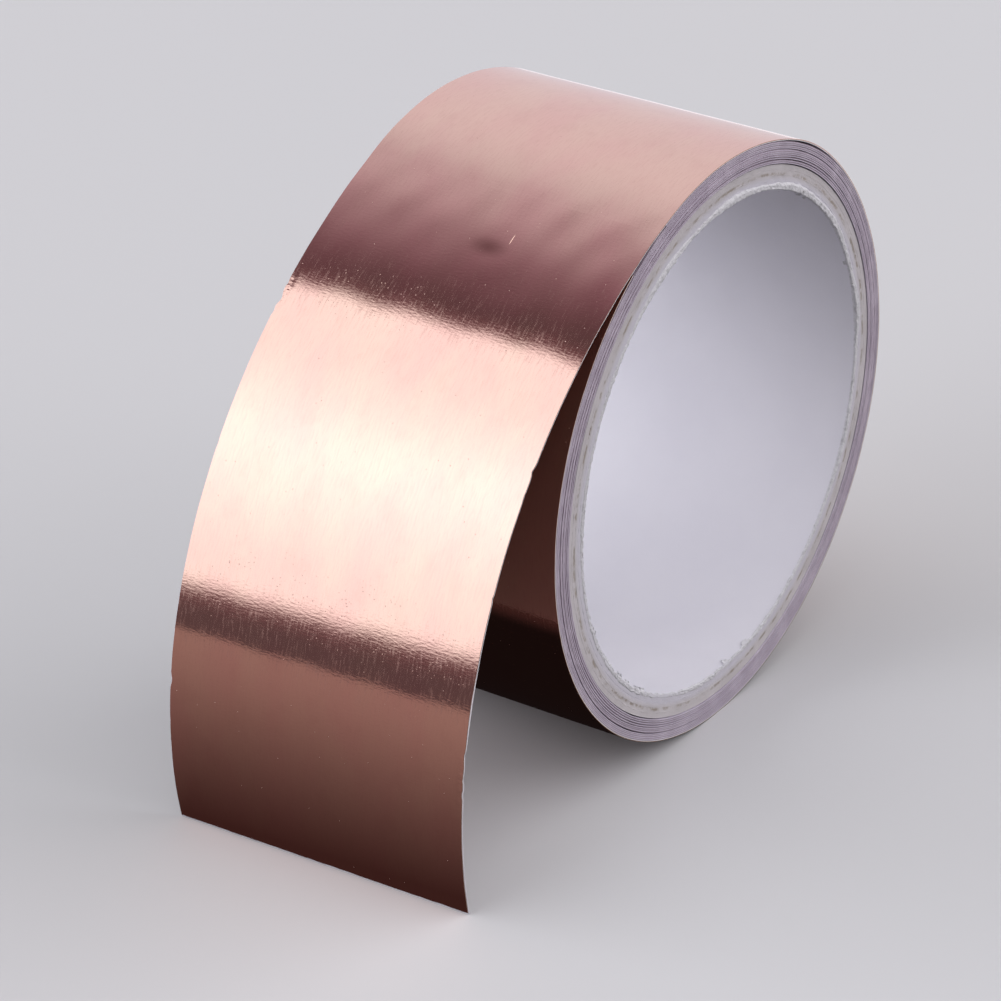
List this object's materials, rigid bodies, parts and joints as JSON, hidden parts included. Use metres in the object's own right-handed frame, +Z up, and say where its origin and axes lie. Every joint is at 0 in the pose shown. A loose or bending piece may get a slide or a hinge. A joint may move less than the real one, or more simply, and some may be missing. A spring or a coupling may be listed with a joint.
{
  "type": "copper foil tape roll",
  "caption": "Roll of adhesive-backed copper foil tape on a paperboard core, with a free end hanging off the roll and a release liner that peels back.",
  "frame": {"origin": "on the core's axis, half way between the roll's two end faces", "axes": "+Y along the roll's axis; +Z up as the roll stands on its rim; the free tail hangs on the -X side"},
  "size_m": [0.1172, 0.05, 0.0926],
  "materials": {
    "copper_foil": "polished copper, rolled, with fine lines along the strip",
    "adhesive": "clear amber acrylic adhesive",
    "release_liner": "white silicone-coated paper",
    "core_board": "grey-cream wound paperboard",
    "core_liner": "smooth white paper",
    "start_tab": "double-sided tape"
  },
  "bodies": {
    "outer_turn": {"outer_turn_foil": "copper_foil", "outer_turn_adhesive": "adhesive", "outer_turn_liner": "release_liner"},
    "roll": {"core_inner_liner": "core_liner", "core_board_ply_1": "core_board", "core_board_ply_2": "core_board", "core_board_ply_3": "core_board", "core_board_ply_4": "core_board", "start_tab": "start_tab", "wound_foil": "copper_foil", "wound_adhesive": "adhesive", "wound_liner": "release_liner"},
    "tail_1": {"tail_foil_1": "copper_foil", "tail_adhesive_1": "adhesive", "tail_liner_1": "release_liner"},
    "tail_2": {"tail_foil_2": "copper_foil", "tail_adhesive_2": "adhesive", "tail_liner_2": "release_liner"},
    "tail_3": {"tail_foil_3": "copper_foil", "tail_adhesive_3": "adhesive", "tail_liner_3": "release_liner"},
    "tail_4": {"tail_foil_4": "copper_foil", "tail_adhesive_4": "adhesive", "tail_liner_4": "release_liner"},
    "liner_flap": {"liner_flap": "release_liner"}
  },
  "joints": [
    {"name": "roll_turn", "type": "hinge", "parent": "outer_turn", "child": "roll", "pos_m": [0, 0, 0], "axis": [0, 1, 0], "continuous": true},
    {"name": "tail_lift", "type": "hinge", "parent": "outer_turn", "child": "tail_1", "pos_m": [-0.02792, 0, 0.03771], "axis": [0, 1, 0], "range_deg": [0, 15], "stiffness_Nm_per_rad": 0.05},
    {"name": "tail_bend_2", "type": "hinge", "parent": "tail_1", "child": "tail_2", "pos_m": [-0.04264, 0, 0.02744], "axis": [0, 1, 0], "range_deg": [0, 15], "stiffness_Nm_per_rad": 0.05},
    {"name": "tail_bend_3", "type": "hinge", "parent": "tail_2", "child": "tail_3", "pos_m": [-0.05498, 0, 0.01442], "axis": [0, 1, 0], "range_deg": [0, 15], "stiffness_Nm_per_rad": 0.05},
    {"name": "tail_bend_4", "type": "hinge", "parent": "tail_3", "child": "tail_4", "pos_m": [-0.0642, 0, -0.00097], "axis": [0, 1, 0], "range_deg": [0, 15], "stiffness_Nm_per_rad": 0.05},
    {"name": "liner_peel", "type": "hinge", "parent": "tail_4", "child": "liner_flap", "pos_m": [-0.07031, 0, -0.023], "axis": [0, -1, 0], "range_deg": [0, 110]}
  ],
  "couplings": [
    {"joint": "tail_bend_2", "follows": "tail_lift", "ratio": 1},
    {"joint": "tail_bend_3", "follows": "tail_lift", "ratio": 1},
    {"joint": "tail_bend_4", "follows": "tail_lift", "ratio": 1}
  ]
}
